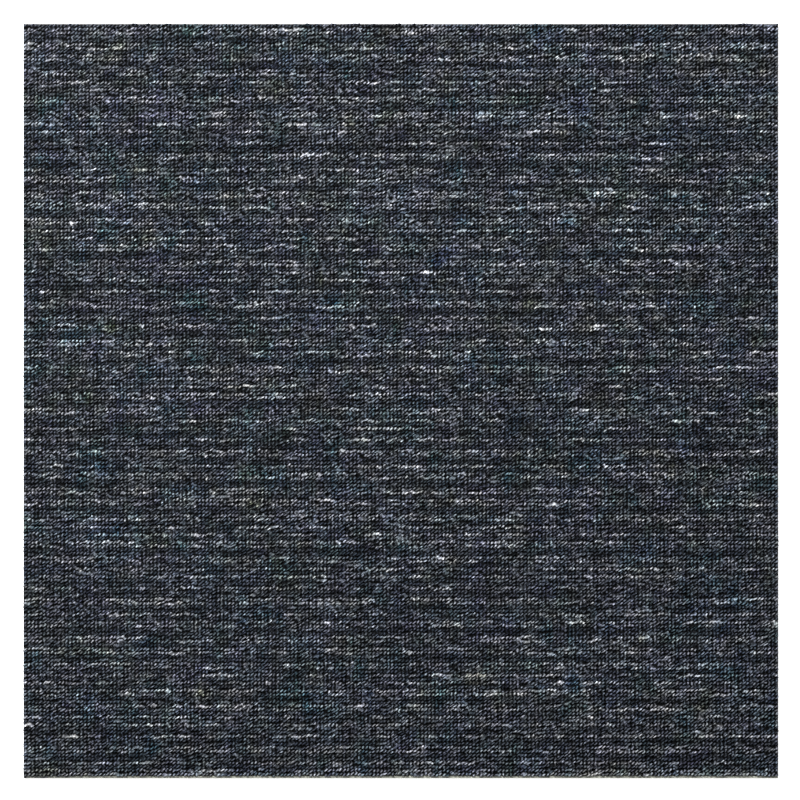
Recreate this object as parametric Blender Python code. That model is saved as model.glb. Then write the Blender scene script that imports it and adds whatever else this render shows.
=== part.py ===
"""A loop-pile carpet tile, built as the real one is laid up: pile, primary backing, heavy backing.

Metres, +Z up. The origin is the middle of the underside. X runs along the rows of loops, which is
the way the tile went through the tufting machine, and Y runs across them.
"""

import math

import bmesh
import bpy

# The die-cut square
TILE_LENGTH = 0.500
TILE_WIDTH = 0.500

# The three bonded layers, from the floor up
HEAVY_BACKING_THICKNESS = 0.0028
PRIMARY_BACKING_THICKNESS = 0.0005
PILE_HEIGHT = 0.0027

# The rows of loops: a tenth-inch gauge, drawn in a little when the backing went on. They are
# counted from the back edge. The front knife cut lengthwise through one more row, whose loops
# fell out, so the cloth is bare there.
ROW_PITCH = 0.002518
ROW_GROOVE_DEPTH = 0.0012
FACETS_PER_ROW = 4

# Heights above the floor at which one layer ends and the next begins
HEAVY_BACKING_TOP = HEAVY_BACKING_THICKNESS
PRIMARY_BACKING_TOP = HEAVY_BACKING_TOP + PRIMARY_BACKING_THICKNESS
PILE_TOP = PRIMARY_BACKING_TOP + PILE_HEIGHT

# Colours are linear RGB
CHARCOAL_YARN = (0.041, 0.047, 0.057)
PALE_CLOTH = (0.34, 0.34, 0.29)
BLACK_COMPOUND = (0.016, 0.016, 0.017)


def clear_scene():
    """Removes whatever the file opened with, such as the startup cube."""
    for old in list(bpy.data.objects):
        bpy.data.objects.remove(old, do_unlink=True)


def make_material(name, colour, roughness):
    """A plain Principled material of one colour, with no metal in it."""
    material = bpy.data.materials.new(name)
    material.use_nodes = True
    shader = material.node_tree.nodes["Principled BSDF"]
    shader.inputs["Base Color"].default_value = (*colour, 1.0)
    shader.inputs["Roughness"].default_value = roughness
    shader.inputs["Metallic"].default_value = 0.0
    return material


def add_object(name, shape, material):
    """Turns a finished bmesh into a named object whose faces point outwards."""
    bmesh.ops.recalc_face_normals(shape, faces=shape.faces)
    mesh = bpy.data.meshes.new(name)
    shape.to_mesh(mesh)
    shape.free()
    mesh.materials.append(material)
    part = bpy.data.objects.new(name, mesh)
    bpy.context.scene.collection.objects.link(part)
    return part


def make_sheet(name, bottom, top, material):
    """A flat layer of the whole tile between two heights."""
    shape = bmesh.new()
    corners = [
        shape.verts.new((side_x * TILE_LENGTH / 2, side_y * TILE_WIDTH / 2, bottom))
        for side_x, side_y in ((-1, -1), (1, -1), (1, 1), (-1, 1))
    ]
    base = shape.faces.new(corners)
    raised = bmesh.ops.extrude_face_region(shape, geom=[base])["geom"]
    for vertex in raised:
        if isinstance(vertex, bmesh.types.BMVert):
            vertex.co.z = top
    return add_object(name, shape, material)


def rows_from_back(count):
    """The y that lies this many rows in front of the back edge."""
    return TILE_WIDTH / 2 - count * ROW_PITCH


def row_outline(row):
    """The (y, z) points over one row of loops: half an ellipse from groove to groove."""
    middle = rows_from_back(row + 0.5)
    groove = PILE_TOP - ROW_GROOVE_DEPTH
    points = []
    for step in range(FACETS_PER_ROW + 1):
        angle = math.pi * step / FACETS_PER_ROW
        y = middle + ROW_PITCH / 2 * math.cos(angle)
        points.append((y, groove + ROW_GROOVE_DEPTH * math.sin(angle)))
    return points


def make_pile(name, material):
    """The pile as one ridged sheet: each row of loops is a rounded ridge along the tile."""
    whole_rows = int(TILE_WIDTH / ROW_PITCH)
    ends = (-TILE_LENGTH / 2, TILE_LENGTH / 2)
    shape = bmesh.new()

    def column(y, z):
        """The pair of vertices at this place in the section, one at each end of the tile."""
        return [shape.verts.new((x, y, z)) for x in ends]

    def strip(first, second):
        """The long face between two such pairs."""
        shape.faces.new((first[0], first[1], second[1], second[0]))

    first_y, first_z = row_outline(0)[0]
    base = column(first_y, PRIMARY_BACKING_TOP)
    crest = column(first_y, first_z)
    strip(base, crest)
    for row in range(whole_rows):
        ridge = [crest]
        for y, z in row_outline(row)[1:]:
            ridge.append(column(y, z))
            strip(ridge[-2], ridge[-1])
        crest = ridge[-1]
        next_base = column(rows_from_back(row + 1), PRIMARY_BACKING_TOP)
        strip(next_base, base)
        for end in range(len(ends)):
            section = [base[end], next_base[end]]
            section += [pair[end] for pair in reversed(ridge)]
            shape.faces.new(section)
        base = next_base
    strip(crest, base)
    return add_object(name, shape, material)


def main():
    clear_scene()
    make_sheet(
        "heavy_backing",
        0.0,
        HEAVY_BACKING_TOP,
        make_material("black_compound", BLACK_COMPOUND, 0.9),
    )
    make_sheet(
        "primary_backing",
        HEAVY_BACKING_TOP,
        PRIMARY_BACKING_TOP,
        make_material("pale_cloth", PALE_CLOTH, 0.95),
    )
    make_pile("loop_pile", make_material("charcoal_yarn", CHARCOAL_YARN, 0.95))


main()
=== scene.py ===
# %% [markdown]
# # A loop-pile carpet tile
#
# The tile is a square of tufted carpet. Needles push yarn through a pale cloth and leave a row of
# small loops behind each needle. A thick black compound is then cast under the cloth, and a fleece
# is pressed into it. Seen from above, the look is all in the yarn: about forty thousand loops, each
# a few millimetres long, in a charcoal melange with off-white streaks.
#
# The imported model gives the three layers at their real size. This script keeps the two flat layers
# and gives them a finish, and it puts real loops where the model has plain ridges.

import bpy
import numpy as np
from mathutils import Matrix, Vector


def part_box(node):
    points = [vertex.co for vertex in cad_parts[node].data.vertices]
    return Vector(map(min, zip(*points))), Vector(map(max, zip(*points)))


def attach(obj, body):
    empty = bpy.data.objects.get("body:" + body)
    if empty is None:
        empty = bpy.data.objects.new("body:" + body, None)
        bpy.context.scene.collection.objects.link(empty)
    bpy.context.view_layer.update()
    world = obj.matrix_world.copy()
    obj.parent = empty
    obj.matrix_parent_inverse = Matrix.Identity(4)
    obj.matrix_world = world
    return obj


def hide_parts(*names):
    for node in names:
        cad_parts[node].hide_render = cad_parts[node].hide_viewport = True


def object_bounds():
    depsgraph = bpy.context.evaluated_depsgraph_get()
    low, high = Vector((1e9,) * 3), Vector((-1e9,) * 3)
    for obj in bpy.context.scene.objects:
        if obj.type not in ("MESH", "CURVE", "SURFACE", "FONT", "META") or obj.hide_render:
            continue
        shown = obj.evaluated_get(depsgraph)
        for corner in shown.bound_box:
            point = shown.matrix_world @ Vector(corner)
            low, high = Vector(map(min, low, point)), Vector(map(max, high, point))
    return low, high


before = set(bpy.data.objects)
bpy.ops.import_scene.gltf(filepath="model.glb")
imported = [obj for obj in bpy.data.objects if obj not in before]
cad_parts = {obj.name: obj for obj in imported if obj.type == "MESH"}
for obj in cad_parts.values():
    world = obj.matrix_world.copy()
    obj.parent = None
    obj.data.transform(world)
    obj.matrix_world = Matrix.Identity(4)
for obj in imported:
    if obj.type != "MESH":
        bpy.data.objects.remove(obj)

cad_low, cad_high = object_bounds()
print("nodes:", sorted(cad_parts), "box:", tuple(cad_low), tuple(cad_high))

# %% [markdown]
# ## The grid of loops
#
# Everything on top of the tile follows one grid. Rows run along X, one for each needle, and are
# counted from the back edge. Along a row one loop follows another at the stitch length. The size of
# the pile comes from the frame, and the two pitches are those of the real carpet.

# %% Sizes of the grid
ROW_PITCH = 0.002518
STITCH = 0.002451

pile_low, pile_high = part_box("loop_pile")
cloth_low, cloth_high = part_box("primary_backing")
tile_length = pile_high.x - pile_low.x
pile_depth = pile_high.z - pile_low.z
rows = round((pile_high.y - pile_low.y) / ROW_PITCH)
loops = round(tile_length / STITCH)
print("rows:", rows, "loops in a row:", loops, "loops in all:", rows * loops)

# %% [markdown]
# ## Two yarns in one order
#
# The machine is fed from a rack of cones, and two yarns are mixed on it: a dark melange and a paler
# one. Their order repeats every 39 needles, in ones and twos, so that the stripes look random. A
# word of letters is the usual way to write such an order down: d is the dark yarn, p the pale one.

# %% Which yarn each row has
THREADING = "dppddppdppddppdpdpdppddppdpdpddpddppddp"

row_is_pale = np.array([THREADING[row % len(THREADING)] == "p" for row in range(rows)])
print("pale rows:", int(row_is_pale.sum()), "dark rows:", int((~row_is_pale).sum()))

# %% [markdown]
# ## Streaks along the yarn
#
# A melange yarn is spun from fibres of several colours, so its shade wanders along its length. A
# streak that starts in one loop fades out over the next few. Painting each loop by itself would
# lose that, and a smooth noise would blur it. The way here is noise with a memory: each place keeps
# a share of its neighbour's value, which gives sharp starts and tails of every length.

# %% Noise with a memory
COLUMNS_PER_LOOP = 3
SEED = 1907
REACH = 8

dice = np.random.default_rng(SEED)
columns = loops * COLUMNS_PER_LOOP + 1


def streaks(lines, places, memory):
    """Random numbers with spread 1, lines by places, that fade along each line.

    White noise is blurred with a one-sided kernel exp(-d / memory), d in places. Two values that
    lie d places apart then agree by exp(-d / memory). The kernel ends REACH memories back, where
    next to nothing is left of it.
    """
    spare = int(REACH * memory) + 1
    white = dice.standard_normal((lines, places + spare))
    kernel = np.exp(-np.arange(spare) / memory)
    kernel /= np.sqrt((kernel**2).sum())
    length = places + 2 * spare
    blurred = np.fft.irfft(np.fft.rfft(white, length) * np.fft.rfft(kernel, length), length)
    return blurred[:, spare : spare + places]


def along_row(per_loop):
    """Numbers per loop as numbers per column.

    The columns of a loop are the dip before it and the two sides of its top. The sides take the
    loop's own number, and a dip takes the mean of the loops on either side of it.
    """
    at_columns = np.empty((per_loop.shape[0], columns))
    at_columns[:, 1::COLUMNS_PER_LOOP] = per_loop
    at_columns[:, 2::COLUMNS_PER_LOOP] = per_loop
    beside = np.pad(per_loop, ((0, 0), (1, 1)), mode="edge")
    at_columns[:, 0::COLUMNS_PER_LOOP] = (beside[:, :-1] + beside[:, 1:]) / 2
    return at_columns


def skewed(values, skew):
    """Values with spread 1 whose high side is longer: (v + s (v^2 - 1)) / sqrt(1 + 2 s^2)."""
    return (values + skew * (values**2 - 1)) / np.sqrt(1 + 2 * skew**2)


# %% [markdown]
# The shade of a place is its row's, times (1 + w / p)^p, where w is how far it has wandered and p
# is a power. That is nearly the exponential of w, with fewer places that are very bright. The wander
# is the sum of a streak, a number for each loop, one for each bundle of fibres and one for each row,
# and it counts a little less in the dark yarn.

# %% Shade of the yarn at every column
PALE_YARN = 0.155
DARK_YARN = 0.0625
DARK_YARN_SPREAD = 0.9
SHADE_SPREAD = {"streak": 0.45, "loop": 0.21, "fibre": 0.19, "row": 0.05}
STREAK_MEMORY = 2.3 * COLUMNS_PER_LOOP
STREAK_SKEW = 0.06
SHADE_POWER = 2.3
LEAST_BASE = 0.3

row_shade = np.where(row_is_pale, PALE_YARN, DARK_YARN)[:, None]
row_spread = np.where(row_is_pale, 1.0, DARK_YARN_SPREAD)[:, None]
wander = (
    SHADE_SPREAD["streak"] * skewed(streaks(rows, columns, STREAK_MEMORY), STREAK_SKEW)
    + SHADE_SPREAD["loop"] * along_row(dice.standard_normal((rows, loops)))
    + SHADE_SPREAD["fibre"] * dice.standard_normal((rows, columns))
    + SHADE_SPREAD["row"] * dice.standard_normal((rows, 1))
)
base = np.maximum(1 + row_spread * wander / SHADE_POWER, LEAST_BASE)
yarn_shade = row_shade * base**SHADE_POWER
print("shade of the yarn, median and brightest:", np.median(yarn_shade), yarn_shade.max())

# %% [markdown]
# ## From shade to colour
#
# The pale fibres are off-white and the dark ones blue-black, so a dark place is bluer than a pale
# one. A power of the shade gives that without a second pattern: red falls a little faster than
# green as the yarn darkens, and blue falls slower. Small patches also lean towards teal or brown, and
# towards blue or olive, where a few dyed fibres come to the top. A patch is a few loops long and three
# or four rows wide, so its noise is averaged over neighbouring rows as well. The strongest patches
# are teal, which is what the skew is for.

# %% Colour of the yarn at every column
RED_POWER = 1.07
BLUE_POWER = 0.91
TINT_MEMORY = 3.6 * COLUMNS_PER_LOOP
TEAL_SKEW = 0.20
BLUE_SKEW = -0.05
TINT_TAIL = 0.03
ROW_WEIGHTS = np.array([1.0, 2.0, 3.0, 3.0, 2.0, 1.0])
TEAL_STRENGTH = 0.080
BLUE_STRENGTH = 0.070


def tint(strength, skew):
    """A lean towards one hue or its opposite at every column.

    Streaks are averaged over neighbouring rows with ROW_WEIGHTS and brought back to spread 1. Most
    of the yarn is nearly neutral and a few patches stand out, so the tails are stretched, to
    (v + t v^3) / sqrt(1 + 6 t + 15 t^2), and then skewed. Where the yarn is pale, off-white fibres
    hide the dyed ones, so the lean is divided by the square root of how much paler than its row
    the place is.
    """
    spare = len(ROW_WEIGHTS) - 1
    wide = streaks(rows + spare, columns, TINT_MEMORY)
    patch = sum(weight * wide[first : first + rows] for first, weight in enumerate(ROW_WEIGHTS))
    patch /= np.sqrt((ROW_WEIGHTS**2).sum())
    patch = (patch + TINT_TAIL * patch**3) / np.sqrt(1 + 6 * TINT_TAIL + 15 * TINT_TAIL**2)
    return strength * skewed(patch, skew) / np.sqrt(yarn_shade / row_shade)


teal = tint(TEAL_STRENGTH, TEAL_SKEW)
blue = tint(BLUE_STRENGTH, BLUE_SKEW)
yarn_colour = np.stack(
    [
        yarn_shade**RED_POWER * np.exp(-teal),
        yarn_shade,
        yarn_shade**BLUE_POWER * np.exp(blue),
    ],
    axis=-1,
)
print("mean colour of the yarn:", yarn_colour.mean((0, 1)).round(4))

# %% [markdown]
# ## The shape of a loop
#
# From above a loop is a short lozenge of yarn. It leans, because the twisted yarn crosses the row at
# a slant, and it stands clear of its neighbours: dark gaps divide the rows, and dips divide the
# loops of a row. One surface can carry them all. Across a row it has a groove, a shoulder, the crest
# and the other shoulder. Along a row it has a dip and the two sides of a top. That is 24 triangles
# for a loop, the most that a million triangles allow, and smooth shading rounds them off.

# %% Proportions of a loop
SHOULDER_OUT = 0.32
SHOULDER_HEIGHT = 0.80
TOP_HALF = 0.16
DIP_HEIGHT = 0.34
DIP_SHOULDER = 0.45
GROOVE_HEIGHT = 0.25
LEAN = 0.86

# %% [markdown]
# No two loops are alike, and none stands quite where its needle put it. Each gets its own height,
# width, lean and place, and the grooves wander with the rows on either side. A loop that stands
# aside also slides a share of the way along its own slant. The cut ends of the rows fall anywhere
# in a loop, so they get a height of their own.

# %% Each loop's own height, width, lean and place
LOOP_HEIGHT = 0.92
HEIGHT_SPREAD = 0.06
HEIGHT_LIMITS = (0.7, 1.03)
CUT_HEIGHTS = (0.35, 0.95)
WIDTH_SPREAD = 0.14
LEAN_SPREAD = 0.36
ASIDE_SPREAD = 0.195
ALONG_SPREAD = 0.04
ASIDE_SHARE = 0.42
GROOVE_SPREAD = 0.15


def each_loop(middle, spread):
    """A random number for every loop, as numbers per column."""
    return along_row(middle + spread * dice.standard_normal((rows, loops)))


loop_height = LOOP_HEIGHT + HEIGHT_SPREAD * dice.standard_normal((rows, loops))
loop_height = np.clip(loop_height, *HEIGHT_LIMITS)
height = along_row(loop_height)
aside = each_loop(0.0, ASIDE_SPREAD)
lean = each_loop(LEAN, LEAN_SPREAD)
width = each_loop(1.0, WIDTH_SPREAD)
nudge = each_loop(0.0, ALONG_SPREAD)
in_dip = np.arange(columns) % COLUMNS_PER_LOOP == 0
cut_height = dice.uniform(*CUT_HEIGHTS, (rows, 2))
print("loops from", loop_height.min(), "to", loop_height.max(), "of the pile's depth")

# %% [markdown]
# Some loops stand apart, and others touch and hide the dip between them, most of all in a pale
# streak, where the yarn is bulky. A number for every dip says how much of it is bridged. The two
# sides of a dip take its number, so that a loop can touch one neighbour and not the other.

# %% How much of each dip is bridged
BRIDGED = -0.05
BRIDGED_SPREAD = 0.25
BRIDGED_IN_STREAK = 0.26
BRIDGED_LIMITS = (0.03, 0.95)
DIP_LIFT = 0.45

at_dips = np.maximum(wander[:, 0::COLUMNS_PER_LOOP], 0)
touching = BRIDGED + BRIDGED_SPREAD * dice.standard_normal(at_dips.shape)
touching = np.clip(touching + BRIDGED_IN_STREAK * at_dips, *BRIDGED_LIMITS)
bridged = np.empty((rows, columns))
bridged[:, 0::COLUMNS_PER_LOOP] = touching
bridged[:, 1::COLUMNS_PER_LOOP] = touching[:, :-1]
bridged[:, 2::COLUMNS_PER_LOOP] = touching[:, 1:]
print("bridged dips, mean share:", touching.mean().round(2))

# %% Height of the crest, the shoulders and the grooves
GROOVE_UNEVEN = 0.5

crest_height = height * np.where(in_dip, DIP_HEIGHT + DIP_LIFT * bridged, 1.0)
crest_height[:, [0, -1]] = cut_height
shoulder_height = crest_height * np.where(in_dip, DIP_SHOULDER, SHOULDER_HEIGHT)
groove_height = GROOVE_HEIGHT * np.abs(1 + GROOVE_UNEVEN * dice.standard_normal((rows + 1, columns)))
groove_height[[0, -1]] = 0.0

# %% [markdown]
# ## Points of the whole pile
#
# The surface has four lines for each row, and one more groove at the front. A point's place along
# the row is its column's, moved by the lean as it lies off the row's middle. The rows aren't quite
# square to the loops either: the columns drift by half a loop from the back edge to the front. The
# drift fades out over the last few loops of a row, whose ends lie on the cut. The knife trimmed
# whatever hung over the edge, so in the end no point may stand out further than OVERHANG.

# %% Places of the lines and columns
LINES_PER_ROW = 4
DRIFT = 0.5
SETTLE = 6
OVERHANG = 0.0003

line_place = np.array([0.0, 0.5 - SHOULDER_OUT, 0.5, 0.5 + SHOULDER_OUT])
column_part = np.array([0.0, 0.5 - TOP_HALF, 0.5 + TOP_HALF])
loop_number, part_number = np.divmod(np.arange(columns), COLUMNS_PER_LOOP)
column_place = loop_number + column_part[part_number]
from_end = np.minimum(column_place, loops - column_place)
drift = DRIFT * (np.arange(rows + 1)[:, None] / rows - 0.5) * np.clip(from_end / SETTLE, 0, 1)


def points_of(behind, along, height_share):
    """The points of one line in every row.

    The y is that many rows behind the row's middle, the x that many loops further along than the
    column, and the z that share of the pile's depth. The first and last columns stay on the cut.
    """
    lines = len(height_share)
    middle = pile_high.y - (np.arange(lines)[:, None] + 0.5) * ROW_PITCH
    x = pile_low.x + (column_place + drift[:lines] + along) * tile_length / loops
    x[:, 0] = pile_low.x
    x[:, -1] = pile_high.x
    return np.stack([x, middle + behind * ROW_PITCH, pile_low.z + height_share * pile_depth], axis=-1)


# %% The grid of points
beside = np.pad(aside, ((1, 1), (0, 0)), mode="edge")
groove_aside = (beside[:-1] + beside[1:]) / 2
groove_aside += GROOVE_SPREAD * dice.standard_normal((rows + 1, columns))
groove_aside[[0, -1]] = 0.0
out = SHOULDER_OUT * width
grid = np.empty((rows * LINES_PER_ROW + 1, columns, 3))
grid[0::LINES_PER_ROW] = points_of(0.5 + groove_aside, np.zeros((rows + 1, columns)), groove_height)
moved = nudge + ASIDE_SHARE * lean * aside
grid[1::LINES_PER_ROW] = points_of(aside + out, moved + lean * out, shoulder_height)
grid[2::LINES_PER_ROW] = points_of(aside, moved, crest_height)
grid[3::LINES_PER_ROW] = points_of(aside - out, moved - lean * out, shoulder_height)
low_limit = [pile_low.x - OVERHANG, pile_low.y, pile_low.z]
high_limit = [pile_high.x + OVERHANG, pile_high.y + OVERHANG, pile_high.z + OVERHANG]
grid = np.clip(grid, low_limit, high_limit)
print("points:", grid.shape[0] * grid.shape[1], "highest:", grid[..., 2].max())

# %% [markdown]
# The colour follows the same grid. Every point also gets a little shade of its own, because no two
# bundles of fibre are alike. Painted shade makes the colour darker at the bottom of a groove and in a
# dip than on a crest, because less light gets down there.

# %% The grid of colours
PAINTED_DEPTH_SHADE = {"groove": 0.5, "dip": 0.8}
GRAIN = 0.40

# Painted shade: the colour in a dip and at the bottom of a groove is darkened.
crest_colour = yarn_colour * np.where(in_dip, PAINTED_DEPTH_SHADE["dip"], 1.0)[:, None]
beside_groove = np.pad(crest_colour, ((1, 1), (0, 0), (0, 0)), mode="edge")
grid_colour = np.empty((*grid.shape[:2], 3))
grid_colour[0::LINES_PER_ROW] = (beside_groove[:-1] + beside_groove[1:]) / 2 * PAINTED_DEPTH_SHADE["groove"]
for line in range(1, LINES_PER_ROW):
    grid_colour[line::LINES_PER_ROW] = crest_colour
grid_colour *= np.exp(GRAIN * dice.standard_normal(grid.shape[:2]))[..., None]
grid_bridged = np.repeat(bridged, LINES_PER_ROW, axis=0)
grid_bridged = np.concatenate([grid_bridged, bridged[-1:]])
print("mean colour of the grid:", grid_colour.mean((0, 1)).round(4))

# %% [markdown]
# ## Arrays into meshes
#
# A mesh is three lists: places, the corners of the faces, and where each face starts in the list of
# corners. Numpy arrays go into them whole, which takes a moment where a loop would take minutes.

# %% A mesh from arrays


def new_mesh(name, places, *groups):
    """A mesh of these places. Each group is an array with one face per line, as place numbers."""
    mesh = bpy.data.meshes.new(name)
    corners = np.concatenate([group.ravel() for group in groups])
    sizes = np.concatenate([np.full(len(group), group.shape[1]) for group in groups])
    mesh.vertices.add(len(places))
    mesh.vertices.foreach_set("co", places.astype(np.float32).ravel())
    mesh.loops.add(len(corners))
    mesh.loops.foreach_set("vertex_index", corners.astype(np.int32))
    mesh.polygons.add(len(sizes))
    mesh.polygons.foreach_set("loop_start", (np.cumsum(sizes) - sizes).astype(np.int32))
    mesh.update(calc_edges=True)
    return mesh


def new_piece(mesh, material):
    """An object for a finished mesh, which moves with the tile and wears one material."""
    mesh.materials.append(material)
    piece = bpy.data.objects.new(mesh.name, mesh)
    bpy.context.scene.collection.objects.link(piece)
    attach(piece, "root")
    return piece


def triangles(mesh):
    """How many triangles a mesh has: two fewer than each face has corners."""
    return len(mesh.loops) - 2 * len(mesh.polygons)


def write_colours(mesh, name, colours):
    """Puts one colour for each place into the mesh, under this name."""
    opaque = np.ones((len(colours), 4), np.float32)
    opaque[:, :3] = colours
    mesh.attributes.new(name, "FLOAT_COLOR", "POINT").data.foreach_set("color", opaque.ravel())


def write_numbers(mesh, name, numbers):
    """Puts one number for each place into the mesh, under this name."""
    values = numbers.astype(np.float32).ravel()
    mesh.attributes.new(name, "FLOAT", "POINT").data.foreach_set("value", values)


def write_map(mesh, name, places):
    """Puts one flat place for each face corner into the mesh, as a UV map."""
    layer = mesh.uv_layers.new(name=name, do_init=False)
    layer.uv.foreach_set("vector", places.astype(np.float32).ravel())


# %% [markdown]
# ## Helpers for the materials
#
# Each finish is a small tree of nodes. One helper adds a node and fills its sockets: a number is
# set, and another node's output is linked. Most finishes stretch a noise to the values they need.
# A noise lies mostly between 0.3 and 0.7, so it is stretched from there. A narrower range gives
# harder edges.

# %% Nodes in one line each
NOISE_RANGE = (0.3, 0.7)
NARROW_RANGE = (0.35, 0.65)


def new_material(name):
    """An empty material with its shader, and its node tree."""
    material = bpy.data.materials.new(name)
    material.use_nodes = True
    tree = material.node_tree
    return material, tree, tree.nodes["Principled BSDF"]


def fill(tree, node, sockets):
    """Sets each named or numbered socket, or links it if it is given another node's output."""
    for key, value in sockets.items():
        if isinstance(value, bpy.types.NodeSocket):
            tree.links.new(value, node.inputs[key])
        else:
            node.inputs[key].default_value = value
    return node


def add(tree, kind, sockets=None, **settings):
    """A new node of this kind, with its settings and sockets."""
    node = tree.nodes.new("ShaderNode" + kind)
    for key, value in settings.items():
        setattr(node, key, value)
    return fill(tree, node, sockets or {})


def noise(tree, vector, scale, detail=2.0, roughness=0.5):
    """Noise between 0 and 1 around 0.5, scale in lumps per unit of the vector."""
    sockets = {"Vector": vector, "Scale": scale, "Detail": detail, "Roughness": roughness}
    found = add(tree, "TexNoise", sockets)
    return found.outputs["Factor"] if "Factor" in found.outputs else found.outputs["Fac"]


def ramp(tree, value, low, high, from_value=0.0, to_value=1.0, kind="LINEAR"):
    """The value from low to high, stretched to run between two others, and held outside them."""
    ends = {"From Min": low, "From Max": high, "To Min": from_value, "To Max": to_value}
    return add(tree, "MapRange", {"Value": value, **ends}, interpolation_type=kind).outputs["Result"]


def in_lumps(tree, vector, size, angle=0.0):
    """The vector turned about Z by this angle and then counted in lumps of this size."""
    sockets = {"Vector": vector, "Rotation": (0.0, 0.0, angle), "Scale": size}
    return add(tree, "Mapping", sockets, vector_type="TEXTURE").outputs["Vector"]


def arithmetic(tree, operation, first, second):
    """Two numbers or outputs, worked into one."""
    return add(tree, "Math", {0: first, 1: second}, operation=operation).outputs["Value"]


def times(tree, colour, value):
    """A colour made lighter or darker by a value."""
    return add(tree, "VectorMath", {0: colour, "Scale": value}, operation="SCALE").outputs["Vector"]


def product(tree, *factors):
    """Several numbers or outputs, multiplied together."""
    result = factors[0]
    for factor in factors[1:]:
        result = arithmetic(tree, "MULTIPLY", result, factor)
    return result


def crossed_fibres(tree, vector, size, angles):
    """Fine fibres that lie several ways: the highest of long-grained noises, one for each angle."""
    layers = [noise(tree, in_lumps(tree, vector, size, angle), 1.0, detail=3.0) for angle in angles]
    result = layers[0]
    for layer in layers[1:]:
        result = arithmetic(tree, "MAXIMUM", result, layer)
    return result


def bump(tree, value, distance, below=None):
    """Relief of this depth in metres, on top of the relief below it."""
    sockets = {"Height": value, "Distance": distance}
    if below is not None:
        sockets["Normal"] = below
    return add(tree, "Bump", sockets).outputs["Normal"]


# %% [markdown]
# ## The yarn's finish
#
# The colour comes with the mesh. What is left is what one sees of a yarn up close: two plies twisted
# round each other, fine fibres along them, and the gaps between the loops, where hardly any light
# gets down. All of it has to follow the rows, so it reads a map that counts loops one way and rows
# the other. The distance to the next whole number is then the distance to a dip or a groove, and
# the base colour is darkened softly towards both as painted shade: less where a dip is bridged, and
# less where two rows lean together over their groove, which a patchy noise decides. Fine specks vary
# the tone of the fibres and also stand for painted glints. Stray fibres cross the gaps and catch a
# little light. Pile swallows the rest, so its gloss is close to none.

# %% Yarn material
DIP_EDGE = 0.18
GROOVE_EDGE = 0.10
GROOVE_SIDE = 0.42
PAINTED_GROOVE_LIGHT = 0.70
LEANINGS_PER_METRE = 330.0
LEANING_RANGE = (0.44, 0.60)
STRAY_YARN = (0.009, 0.010, 0.0115)
STRAY_SIZE = (0.00018, 0.0018, 0.0006)
STRAY_WAYS = (0.3, 1.3, 2.4)
STRAY_RANGE = (0.56, 0.76)
SPECKS_AND_GLINTS_PER_METRE = 1200.0
SPECK_AND_GLINT_RANGE = (0.45, 1.6)
PLY_SIZE = (1.0, 1.0, 1.0)
PLY_ANGLE = -0.9
PLY_SCALE = 0.7
PLY_WAVER = 1.2
FIBRE_SIZE = (0.075, 0.5, 1.0)
FIBRE_ANGLE = 0.35
FIBRE_RANGE = (0.65, 1.35)
PLY_RELIEF = 0.00012
FIBRE_RELIEF = 0.00005

yarn, tree, shader = new_material("melange_yarn")
dyed = add(tree, "Attribute", attribute_name="yarn_colour").outputs["Color"]
row_map = add(tree, "UVMap", uv_map="yarn").outputs["UV"]
bridge = add(tree, "Attribute", attribute_name="bridged").outputs["Fac"]
place = add(tree, "TexCoord").outputs["Object"]
counted = add(tree, "SeparateXYZ", {"Vector": row_map})
from_dip = arithmetic(tree, "PINGPONG", counted.outputs["X"], 0.5)
from_groove = arithmetic(tree, "PINGPONG", counted.outputs["Y"], 0.5)
slanted = in_lumps(tree, row_map, PLY_SIZE, PLY_ANGLE)
waves = {"Vector": slanted, "Scale": PLY_SCALE, "Distortion": PLY_WAVER, "Detail": 1.0}
ply = add(tree, "TexWave", waves)
fibres = noise(tree, in_lumps(tree, row_map, FIBRE_SIZE, FIBRE_ANGLE), 1.0, detail=3.0)
# Fine specks: partly random tone of the fibres, partly painted glints on single fibres.
specks_and_glints = noise(tree, place, SPECKS_AND_GLINTS_PER_METRE, detail=2.0, roughness=0.7)
leaning = noise(tree, place, LEANINGS_PER_METRE, detail=2.0)
painted_groove_light = ramp(tree, leaning, *LEANING_RANGE, 0.0, PAINTED_GROOVE_LIGHT)
# Painted shade: the base colour darkens towards the dips and grooves between loops, less where a dip
# is bridged or two rows lean over their groove.
shade = product(
    tree,
    ramp(tree, fibres, *NARROW_RANGE, *FIBRE_RANGE),
    ramp(tree, specks_and_glints, *NOISE_RANGE, *SPECK_AND_GLINT_RANGE),
    ramp(tree, from_dip, DIP_EDGE, 0.5, bridge, 1.0, "SMOOTHSTEP"),
    ramp(tree, from_groove, GROOVE_EDGE, GROOVE_SIDE, painted_groove_light, 1.0, "SMOOTHSTEP"),
)
strays = ramp(tree, crossed_fibres(tree, place, STRAY_SIZE, STRAY_WAYS), *STRAY_RANGE)
in_gaps = times(tree, STRAY_YARN, strays)
plies = bump(tree, ply.outputs["Color"], PLY_RELIEF)
sockets = {
    "Base Color": add(tree, "VectorMath", {0: times(tree, dyed, shade), 1: in_gaps}).outputs["Vector"],
    "Roughness": 0.9,
    "Sheen Weight": 0.02,
    "Sheen Roughness": 0.5,
    "Specular IOR Level": 0.05,
    "Normal": bump(tree, fibres, FIBRE_RELIEF, plies),
}
fill(tree, shader, sockets)

# %% [markdown]
# ## The pile in bands
#
# One mesh of the whole pile would have nearly a million triangles. It is cut into bands of whole
# rows, each under 200,000, which meet in the grooves. A band is a closed body: the loops on top, a
# flat underside on the cloth, and the cut ends of its rows. Each has two maps. One counts loops and
# rows, for the yarn's finish. The other lays the band out as a square sheet, in two halves, so that
# a picture baked from it has as many pixels across a loop as along it.

# %% Faces of a band
ROWS_PER_BAND = 33


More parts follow.
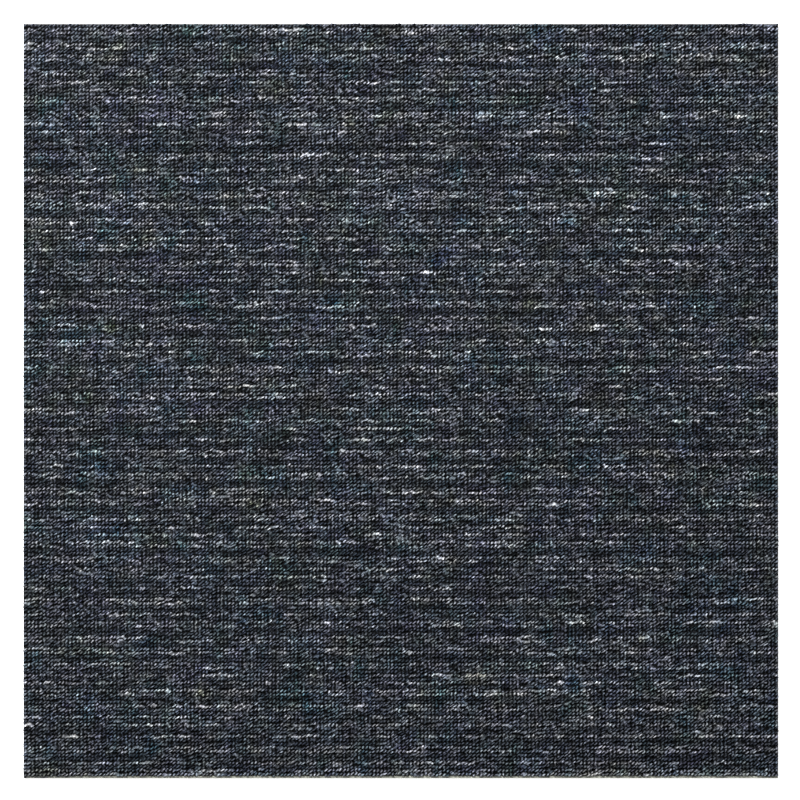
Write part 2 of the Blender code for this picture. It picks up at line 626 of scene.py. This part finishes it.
def top_faces(line_count):
    """The four-cornered faces of a grid of places, pointing up, with this many lines of faces."""
    line, column = np.meshgrid(np.arange(line_count), np.arange(columns - 1), indexing="ij")
    corner = line * columns + column
    faces = np.stack([corner, corner + columns, corner + columns + 1, corner + 1], axis=-1)
    return faces.reshape(-1, 4)


def end_faces(row_count, column):
    """The cut end of each row: from its groove over both shoulders to the next groove."""
    start = np.arange(row_count)[:, None] * LINES_PER_ROW * columns + column
    faces = start + np.arange(LINES_PER_ROW + 1) * columns
    return faces[:, ::-1] if column == 0 else faces


def underside_faces(last_line, inner_lines):
    """The flat underside from line 0 to the last one, and the two wider faces at its ends.

    The inner lines are those whose end points lie on the underside's level as well.
    """
    front = last_line * columns
    inner = inner_lines * columns
    middle = np.arange(1, columns - 2)
    faces = np.stack([middle, middle + 1, middle + 1 + front, middle + front], axis=-1)
    last = columns - 1
    left = np.concatenate([[0, 1, front + 1, front], inner[::-1]])
    right = np.concatenate([[last - 1, last], inner + last, [front + last, front + last - 1]])
    return faces, left[None], right[None]


# %% Maps of a band
SHEET_SHARE = 0.96
INSET = 0.002
THIN_STRIP = (0.1, 0.8)
CUT_THROUGH = 0.3


def band_maps(row_count, groups):
    """The two maps of a band, one flat place for each face corner.

    A corner's line and column give both. The row map is loops along and rows across, and the cuts
    at the ends go through the thick of a loop. The bake map folds the band in two and fills the
    sheet with it, and the few other faces share a thin strip.
    """
    corners = np.concatenate([group.ravel() for group in groups])
    line, column = np.divmod(corners, columns)
    along = np.clip(column_place, CUT_THROUGH, loops - CUT_THROUGH)[column]
    row_map = np.stack([along, line // LINES_PER_ROW + line_place[line % LINES_PER_ROW]], axis=-1)
    fold = columns // 2
    across = line / (row_count * LINES_PER_ROW)
    face_first = np.repeat(groups[0][:, 0] % columns, 4)
    upper = np.zeros(len(corners), bool)
    upper[: groups[0].size] = face_first >= fold
    sheet = np.stack([(column - fold * upper) / fold, (across + upper) / 2], axis=-1)
    sheet = INSET + (1 - 2 * INSET) * sheet
    sheet[:, 1] *= SHEET_SHARE
    other = np.arange(len(corners)) >= groups[0].size
    sheet[other, 0] = across[other]
    start, extent = THIN_STRIP
    sheet[other, 1] = 1 - (1 - SHEET_SHARE) * (start + extent * column[other] / columns)
    return row_map, sheet


# %% The bands
bands = []
for first_row in range(0, rows, ROWS_PER_BAND):
    row_count = min(ROWS_PER_BAND, rows - first_row)
    lines = slice(first_row * LINES_PER_ROW, (first_row + row_count) * LINES_PER_ROW + 1)
    top = top_faces(row_count * LINES_PER_ROW)
    grooves = np.arange(1, row_count) * LINES_PER_ROW
    groups = [top, end_faces(row_count, 0), end_faces(row_count, columns - 1)]
    groups += underside_faces(row_count * LINES_PER_ROW, grooves)
    mesh = new_mesh(f"loops_{len(bands) + 1}", grid[lines].reshape(-1, 3), *groups)
    smooth = np.arange(len(mesh.polygons)) < len(top)
    mesh.polygons.foreach_set("use_smooth", smooth)
    write_colours(mesh, "yarn_colour", grid_colour[lines].reshape(-1, 3))
    write_numbers(mesh, "bridged", grid_bridged[lines])
    row_map, sheet = band_maps(row_count, groups)
    write_map(mesh, "yarn", row_map)
    write_map(mesh, "OFBake", sheet)
    band = new_piece(mesh, yarn)
    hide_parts("loop_pile")
    bands.append(band)
    print(band.name, "rows:", row_count, "triangles:", triangles(mesh))

# %% [markdown]
# ## The cut row at the front
#
# The front knife cut lengthwise through one more row of loops. Their halves fell out, which leaves a
# strip of bare cloth no wider than a matchstick is thick, littered with stubs of yarn. The knife ran
# a little askew, so at the left end, up to YARN_LEFT_TO, that row is still there. The strip is one
# thin sheet with lumps on it, and the same noise that lifts a lump says what it is: yarn or cloth.

# %% A thin sheet with lumps
STRIP_LINES = 6
STRIP_UNDER_PILE = 0.0006
STRIP_LIFT = 0.00004
LUMP_HEIGHT = 0.0007
LUMP_MEMORY = 0.5 * COLUMNS_PER_LOOP
LEAST_LUMP = 0.25
MORE_AT_BACK = 0.5
STUBS_FADE_OVER = 0.012
COVERED_LIMITS = (-1.1, 1.3)
STRIP_GRAIN = 0.25
PALE_CLOTH = np.array([0.30, 0.31, 0.265])
YARN_STUB = np.array([0.030, 0.034, 0.038])
YARN_LEFT_TO = -0.218

strip_x = np.linspace(cloth_low.x, cloth_high.x, columns)
across = np.linspace(0, 1, STRIP_LINES)[:, None]
strip_back = pile_low.y + STRIP_UNDER_PILE
strip_y = strip_back - across * (strip_back - cloth_low.y)
lumps = streaks(STRIP_LINES, columns, LUMP_MEMORY)
covered = np.clip((YARN_LEFT_TO - strip_x) / STUBS_FADE_OVER, *COVERED_LIMITS)
stub = np.clip(lumps + covered + MORE_AT_BACK - across, 0, 1)
edge = np.ones(STRIP_LINES)
edge[[0, -1]] = 0.0
lift = edge[:, None] * LUMP_HEIGHT * (LEAST_LUMP + (1 - LEAST_LUMP) * stub)
strip_z = cloth_high.z + STRIP_LIFT + lift
strip_z[:, [0, -1]] = cloth_high.z + STRIP_LIFT
strip_colour = PALE_CLOTH + (YARN_STUB - PALE_CLOTH) * stub[..., None]
strip_colour *= np.exp(STRIP_GRAIN * dice.standard_normal(strip_z.shape))[..., None]
print("share of the strip with yarn on it:", stub.mean().round(2))

# %% Cloth material
CLOTH_FIBRE = (0.0004, 0.0033, 0.0011)
CLOTH_WAYS = (0.6, -0.7)
CLOTH_CONTRAST = (0.35, 0.75, 0.65, 1.3)
CLOTH_CLOUDS_PER_METRE = 160.0
CLOTH_CLOUD_RANGE = (0.75, 1.2)
CLOTH_ROUGHNESS = (0.95, 0.8)
CLOTH_RELIEF = 0.00015
SMEAR_SIZE = (0.0024, 0.0024, 0.0006)
SMEAR_RANGE = (0.38, 0.56)
SMEAR_SHADE = 0.16
SMEAR_ENDS_BELOW_TOP = (0.00012, 0.00004)


def cloth_material(name, base=None):
    """Pale non-woven cloth: short fibres lie both ways, and black compound has smeared on its edge.

    The base is the name of a colour in the mesh, or else the cloth is plain.
    """
    material, tree, shader = new_material(name)
    place = add(tree, "TexCoord").outputs["Object"]
    fibres = crossed_fibres(tree, place, CLOTH_FIBRE, CLOTH_WAYS)
    clouds = noise(tree, place, CLOTH_CLOUDS_PER_METRE, detail=4.0)
    shade = product(
        tree,
        ramp(tree, fibres, *CLOTH_CONTRAST),
        ramp(tree, clouds, *NOISE_RANGE, *CLOTH_CLOUD_RANGE),
    )
    height = add(tree, "SeparateXYZ", {"Vector": place}).outputs["Z"]
    from_height, to_height = (cloth_high.z - below for below in SMEAR_ENDS_BELOW_TOP)
    on_side = ramp(tree, height, from_height, to_height, 1.0, 0.0)
    smear = noise(tree, in_lumps(tree, place, SMEAR_SIZE), 1.0, detail=4.0, roughness=0.6)
    smeared = product(tree, on_side, ramp(tree, smear, *SMEAR_RANGE))
    shade = product(tree, shade, ramp(tree, smeared, 0.0, 1.0, 1.0, SMEAR_SHADE))
    if base:
        colour = add(tree, "Attribute", attribute_name=base).outputs["Color"]
    else:
        colour = add(tree, "RGB").outputs["Color"]
        colour.default_value = (*PALE_CLOTH, 1.0)
    sockets = {
        "Base Color": times(tree, colour, shade),
        "Roughness": ramp(tree, fibres, *NOISE_RANGE, *CLOTH_ROUGHNESS),
        "Specular IOR Level": 0.2,
        "Normal": bump(tree, fibres, CLOTH_RELIEF),
    }
    fill(tree, shader, sockets)
    return material


# %% The strip, and the cloth under the pile
strip_top = top_faces(STRIP_LINES - 1)
strip_places = np.stack(np.broadcast_arrays(strip_x, strip_y, strip_z), axis=-1).reshape(-1, 3)
strip_under = underside_faces(STRIP_LINES - 1, np.arange(1, STRIP_LINES - 1))
strip_mesh = new_mesh("cut_row", strip_places, strip_top, *strip_under)
write_colours(strip_mesh, "strip_colour", strip_colour.reshape(-1, 3))
strip_mesh.polygons.foreach_set("use_smooth", np.arange(len(strip_mesh.polygons)) < len(strip_top))
new_piece(strip_mesh, cloth_material("frayed_cloth", "strip_colour"))
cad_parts["primary_backing"].material_slots[0].material = cloth_material("pale_cloth")
print("triangles in the strip:", triangles(strip_mesh))

# %% [markdown]
# ## Loose fibres
#
# Cutting also leaves loose ends: pale ones from the cloth and the streaky yarn, lying across the bare
# strip, and dark ones round the other sides. Each is a thin three-sided tube, bent once and pointed
# at both ends, on a path from its root along a direction, with a sideways bow and a rise. The pale
# ones lie along the strip, and the dark ones stick out of a cut side: 0 is left, 1 right, 2 back.

# %% Tubes along bent paths
STATIONS = np.array([0.0, 0.25, 0.5, 0.75, 1.0])
THICKNESS_ALONG = np.array([0.0, 1.0, 1.0, 0.8, 0.0])
TUBE_SIDES = 3


def bent_tubes(roots, headings, lengths, bows, rises, radius):
    """The places and faces of many tubes at once.

    With t from 0 to 1, a path is root + heading t length + side bow 4t(1 - t) + up rise 4t(1 - t).
    Round each station lie TUBE_SIDES points at the radius. Both ends shrink to a point.
    """
    t = STATIONS[None, :, None]
    ahead = np.stack([np.cos(headings), np.sin(headings), 0 * headings], axis=-1)[:, None]
    side = np.stack([-np.sin(headings), np.cos(headings), 0 * headings], axis=-1)[:, None]
    up = np.array([0.0, 0.0, 1.0])
    arch = 4 * t * (1 - t)
    path = roots[:, None] + ahead * t * lengths[:, None, None]
    path = path + side * arch * bows[:, None, None] + up * arch * rises[:, None, None]
    turn = 2 * np.pi * np.arange(TUBE_SIDES) / TUBE_SIDES
    ring = side[:, :, None] * np.cos(turn)[:, None] + up * np.sin(turn)[:, None]
    round_path = path[:, 1:-1, None] + radius * ring * THICKNESS_ALONG[1:-1, None, None]
    places = np.concatenate([path[:, :1], round_path.reshape(len(roots), -1, 3), path[:, -1:]], axis=1)
    each = places.shape[1]
    here = np.arange(TUBE_SIDES)
    after = (here + 1) % TUBE_SIDES
    first_ring = 1 + here
    root_fan = np.stack([0 * here, 1 + after, first_ring], axis=-1)
    wall = np.stack([1 + here, 1 + after, 1 + after + TUBE_SIDES, 1 + here + TUBE_SIDES], axis=-1)
    walls = [wall + step * TUBE_SIDES for step in range(len(STATIONS) - 3)]
    last_ring = each - 1 - TUBE_SIDES
    tip_fan = np.stack([last_ring + here, last_ring + after, 0 * here + each - 1], axis=-1)
    shift = (np.arange(len(roots)) * each)[:, None, None]
    threes = (np.concatenate([root_fan, tip_fan]) + shift).reshape(-1, 3)
    fours = (np.concatenate(walls) + shift).reshape(-1, 4)
    return places.reshape(-1, 3), threes, fours


# %% Fibre material
DYE_WAVES_PER_METRE = 700.0
DYE_RANGE = (0.6, 1.3)
GLOSS_WAVES_PER_METRE = 1500.0
FIBRE_ROUGHNESS = (0.6, 0.8)
SCALES_PER_METRE = 5000.0
SCALE_RELIEF = 0.00001


def fibre_material(name, colour):
    """A single fibre: one dyed colour that wanders a little, with a faint gloss."""
    material, tree, shader = new_material(name)
    place = add(tree, "TexCoord").outputs["Object"]
    dye = add(tree, "RGB").outputs["Color"]
    dye.default_value = (*colour, 1.0)
    dye_waves = noise(tree, place, DYE_WAVES_PER_METRE)
    gloss_waves = noise(tree, place, GLOSS_WAVES_PER_METRE)
    sockets = {
        "Base Color": times(tree, dye, ramp(tree, dye_waves, *NOISE_RANGE, *DYE_RANGE)),
        "Roughness": ramp(tree, gloss_waves, *NOISE_RANGE, *FIBRE_ROUGHNESS),
        "Specular IOR Level": 0.3,
        "Normal": bump(tree, noise(tree, place, SCALES_PER_METRE), SCALE_RELIEF),
    }
    fill(tree, shader, sockets)
    return material


# %% The fibres
FIBRE_RADIUS = 0.00005
LENGTH_RANGE = (0.4, 1.0)
MOST_BOW = 0.3
RISE_RANGE = (0.02, 0.12)
PALE_FIBRES = 150
LONGEST_PALE = 0.002
DARK_FIBRES = 100
LONGEST_DARK = 0.0013
PALE_FIBRE = (0.42, 0.43, 0.40)
DARK_FIBRE = (0.030, 0.034, 0.040)


def fibre_piece(name, x, y, z, headings, longest, colour):
    """Puts in fibres at these roots as one piece, each bent its own way and up to this long."""
    count = len(x)
    lengths = dice.uniform(*LENGTH_RANGE, count) * longest
    bows = dice.uniform(-MOST_BOW, MOST_BOW, count) * lengths
    rises = dice.uniform(*RISE_RANGE, count) * lengths
    roots = np.stack([x, y, z], axis=-1)
    places, threes, fours = bent_tubes(roots, headings, lengths, bows, rises, FIBRE_RADIUS)
    mesh = new_mesh(name, places, threes, fours)
    mesh.polygons.foreach_set("use_smooth", np.ones(len(mesh.polygons), bool))
    print(name, "fibres:", count, "triangles:", triangles(mesh))
    new_piece(mesh, fibre_material(name + "_dye", colour))


# %% Pale fibres on the strip, dark ones round the other sides
LYING_HEIGHT = 0.0005
ROOT_INSET = 0.0005
FROM_CORNER = 0.003
FROM_FRONT = 0.0002
PALE_FAN = 0.5
DARK_FAN = 1.2
ALONG_SIDE = 0.49
ROOT_HEIGHTS = (0.3, 0.8)

fibre_piece(
    "front_fibres",
    dice.uniform(YARN_LEFT_TO, cloth_high.x - FROM_CORNER, PALE_FIBRES),
    dice.uniform(cloth_low.y + FROM_FRONT, pile_low.y, PALE_FIBRES),
    np.full(PALE_FIBRES, cloth_high.z + LYING_HEIGHT),
    np.pi * dice.integers(0, 2, PALE_FIBRES) + dice.uniform(-PALE_FAN, PALE_FAN, PALE_FIBRES),
    LONGEST_PALE,
    PALE_FIBRE,
)
side_of = dice.integers(0, 3, DARK_FIBRES)
along_side = dice.uniform(-ALONG_SIDE, ALONG_SIDE, DARK_FIBRES) * tile_length
left_or_right = [side_of == 0, side_of == 1]
cut_x = [pile_low.x + ROOT_INSET, pile_high.x - ROOT_INSET]
side_x = np.select(left_or_right, cut_x, along_side)
side_y = np.where(side_of == 2, pile_high.y - ROOT_INSET, along_side)
outwards = np.select(left_or_right, [np.pi, 0.0], np.pi / 2)
fibre_piece(
    "side_fibres",
    side_x,
    side_y,
    pile_low.z + dice.uniform(*ROOT_HEIGHTS, DARK_FIBRES) * pile_depth,
    outwards + dice.uniform(-DARK_FAN, DARK_FAN, DARK_FIBRES),
    LONGEST_DARK,
    DARK_FIBRE,
)

# %% [markdown]
# ## The backing's finish
#
# The heavy backing is a black compound full of ground stone, so its cut sides are matt, pitted and
# flecked with grey, and the knife has left upright scratches on them. Its underside is a thin fleece
# pressed in while hot: fibres lie every way, and small dots in a diamond grid bond them. One material
# does both, because the solid is one: at the bottom it is fleece, which between the two heights of
# FLEECE_ENDS turns into compound.

# %% Compound and fleece material
COMPOUND = (0.017, 0.017, 0.018)
FILLER = (0.10, 0.10, 0.095)
FLEECE = (0.055, 0.057, 0.060)
FLEECE_ENDS = (0.00032, 0.00048)
FLEECE_FIBRE = (0.0003, 0.0040, 0.0040)
FLEECE_WAYS = (0.2, 1.0, 1.9, 2.7)
FLEECE_CONTRAST = (0.46, 0.76, 0.45, 1.9)
FLEECE_RELIEF = 0.00020
FLEECE_CLOUDS_PER_METRE = 60.0
FLEECE_CLOUD_RANGE = (0.75, 1.25)
BOND_PITCH = 0.0022
BOND_EDGE = (0.30, 0.40)
BOND_SHADE = 0.5
BOND_DEPTH = 0.8
GRIT_PER_METRE = 2400.0
FILLER_RANGE = (0.60, 0.72)
BACKING_ROUGHNESS = (0.95, 0.75)
PITS_PER_METRE = 750.0
PIT_RANGE = (0.55, 1.35)
PIT_RELIEF = 0.00012
SCRATCH_SIZE = (0.00055, 0.00055, 0.008)
SCRATCH_RELIEF = 0.00004


def mixed(tree, share, first, second):
    """Two colours or outputs, mixed by a share between 0 and 1."""
    node = add(tree, "Mix", {0: share}, data_type="RGBA")
    return fill(tree, node, {6: first, 7: second}).outputs[2]


backing, tree, shader = new_material("compound_and_fleece")
place = add(tree, "TexCoord").outputs["Object"]
upright = add(tree, "SeparateXYZ", {"Vector": place}).outputs["Z"]
is_compound = ramp(tree, upright, *FLEECE_ENDS)
grit = noise(tree, place, GRIT_PER_METRE, detail=3.0, roughness=0.6)
pits = noise(tree, place, PITS_PER_METRE, detail=4.0, roughness=0.65)
scratches = noise(tree, in_lumps(tree, place, SCRATCH_SIZE), 1.0, detail=2.0)
compound = mixed(tree, ramp(tree, grit, *FILLER_RANGE), (*COMPOUND, 1.0), (*FILLER, 1.0))
compound = times(tree, compound, ramp(tree, pits, *NARROW_RANGE, *PIT_RANGE))
fibres = crossed_fibres(tree, place, FLEECE_FIBRE, FLEECE_WAYS)
diamond = in_lumps(tree, place, (BOND_PITCH, BOND_PITCH, 1.0), np.pi / 4)
counted = add(tree, "SeparateXYZ", {"Vector": diamond})
across_x = arithmetic(tree, "PINGPONG", counted.outputs["X"], 0.5)
across_y = arithmetic(tree, "PINGPONG", counted.outputs["Y"], 0.5)
bond = product(tree, ramp(tree, across_x, *BOND_EDGE), ramp(tree, across_y, *BOND_EDGE))
clouds = noise(tree, place, FLEECE_CLOUDS_PER_METRE, detail=4.0)
fleece_shade = product(
    tree,
    ramp(tree, fibres, *FLEECE_CONTRAST),
    ramp(tree, clouds, *NOISE_RANGE, *FLEECE_CLOUD_RANGE),
    ramp(tree, bond, 0.0, 1.0, 1.0, BOND_SHADE),
)
fleece = times(tree, FLEECE, fleece_shade)
relief = bump(tree, scratches, SCRATCH_RELIEF)
relief = bump(tree, pits, PIT_RELIEF, relief)
is_fleece = ramp(tree, is_compound, 0.0, 1.0, 1.0, 0.0)
soft_relief = arithmetic(tree, "SUBTRACT", fibres, product(tree, bond, BOND_DEPTH))
relief = bump(tree, product(tree, soft_relief, is_fleece), FLEECE_RELIEF, relief)
sockets = {
    "Base Color": mixed(tree, is_compound, fleece, compound),
    "Roughness": ramp(tree, grit, *NOISE_RANGE, *BACKING_ROUGHNESS),
    "Specular IOR Level": 0.3,
    "Normal": relief,
}
fill(tree, shader, sockets)
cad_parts["heavy_backing"].material_slots[0].material = backing
print("bond dots across the fleece:", int(tile_length / BOND_PITCH))

# %% [markdown]
# ## The studio
#
# The tile lies on a white floor that glows a little, so it has hardly a shadow. Far out the floor
# turns up into a round wall, so that no horizon shows from any side. A soft light from the back left
# shapes the loops and falls off towards the front right, and the room fills in the rest.

# %% Sweep
FLOOR_RADIUS = 5.0
SWEEP_RADIUS = 2.0
WALL_HEIGHT = 3.0
FLOOR_GAP = 0.0002
SWEEP_RINGS = 9
SPOKES = 64
FLOOR_WHITE = (0.85, 0.85, 0.85, 1.0)
GLOW = {"Emission Color": (1.0, 1.0, 1.0, 1.0), "Emission Strength": 0.8}

turn = np.linspace(0, np.pi / 2, SWEEP_RINGS)
radius = np.concatenate([[0.0, FLOOR_RADIUS], FLOOR_RADIUS + SWEEP_RADIUS * np.sin(turn[1:])])
level = np.concatenate([[0.0, 0.0], SWEEP_RADIUS * (1 - np.cos(turn[1:]))])
radius = np.append(radius, radius[-1])
level = np.append(level, WALL_HEIGHT)
angle = 2 * np.pi * np.arange(SPOKES) / SPOKES
rim = [
    np.outer(radius[1:], np.cos(angle)),
    np.outer(radius[1:], np.sin(angle)),
    np.outer(level[1:], np.ones(SPOKES)) + cad_low.z - FLOOR_GAP,
]
sweep_places = np.stack(rim, axis=-1).reshape(-1, 3)
ring, spoke = np.meshgrid(np.arange(len(radius) - 2), np.arange(SPOKES), indexing="ij")
after = (spoke + 1) % SPOKES
sweep_faces = np.stack([ring * SPOKES + spoke, ring * SPOKES + after], axis=-1)
sweep_faces = np.concatenate([sweep_faces, sweep_faces[..., ::-1] + SPOKES], axis=-1).reshape(-1, 4)
sweep_faces = sweep_faces[:, ::-1]
floor_mesh = new_mesh("floor", sweep_places, np.arange(SPOKES)[None], sweep_faces)
floor_mesh.polygons.foreach_set("use_smooth", np.ones(len(floor_mesh.polygons), bool))

white, tree, shader = new_material("white_sweep")
fill(tree, shader, {"Base Color": FLOOR_WHITE, "Roughness": 0.9, **GLOW})
floor_mesh.materials.append(white)
floor = bpy.data.objects.new("floor", floor_mesh)
bpy.context.scene.collection.objects.link(floor)

# %% Light
KEY_PLACE = (-0.5, 1.1, 1.4)
KEY_SIZE = 0.7
KEY_POWER = 80.0
ROOM_LIGHT = {"Color": (1.0, 1.0, 1.0, 1.0), "Strength": 0.4}

key_light = bpy.data.lights.new("key", "AREA")
key_light.shape = "DISK"
key_light.size = KEY_SIZE
key_light.energy = KEY_POWER
key = bpy.data.objects.new("key", key_light)
key.location = KEY_PLACE
key.rotation_mode = "QUATERNION"
key.rotation_quaternion = key.location.to_track_quat("Z", "Y")
bpy.context.scene.collection.objects.link(key)
room = bpy.data.worlds.new("room")
room.use_nodes = True
fill(room.node_tree, room.node_tree.nodes["Background"], ROOM_LIGHT)
bpy.context.scene.world = room
bpy.context.scene.view_settings.view_transform = "Standard"

# %% [markdown]
# The photograph looks straight down, from far enough away that the sides don't show. A long lens
# high above the tile does the same. The view is FRAME_SIDE wide at the top of the pile, and a little
# off the tile's middle, as in the photograph.

# %% Camera
CAMERA_HEIGHT = 2.5
FRAME_SIDE = 0.52963
SENSOR = 36.0
OFF_CENTRE = (-0.00053, 0.00072)

camera_data = bpy.data.cameras.new("camera")
camera_data.sensor_width = SENSOR
camera_data.lens = SENSOR * (CAMERA_HEIGHT - cad_high.z) / FRAME_SIDE
camera = bpy.data.objects.new("camera", camera_data)
camera.location = (*OFF_CENTRE, CAMERA_HEIGHT)
bpy.context.scene.collection.objects.link(camera)
bpy.context.scene.camera = camera
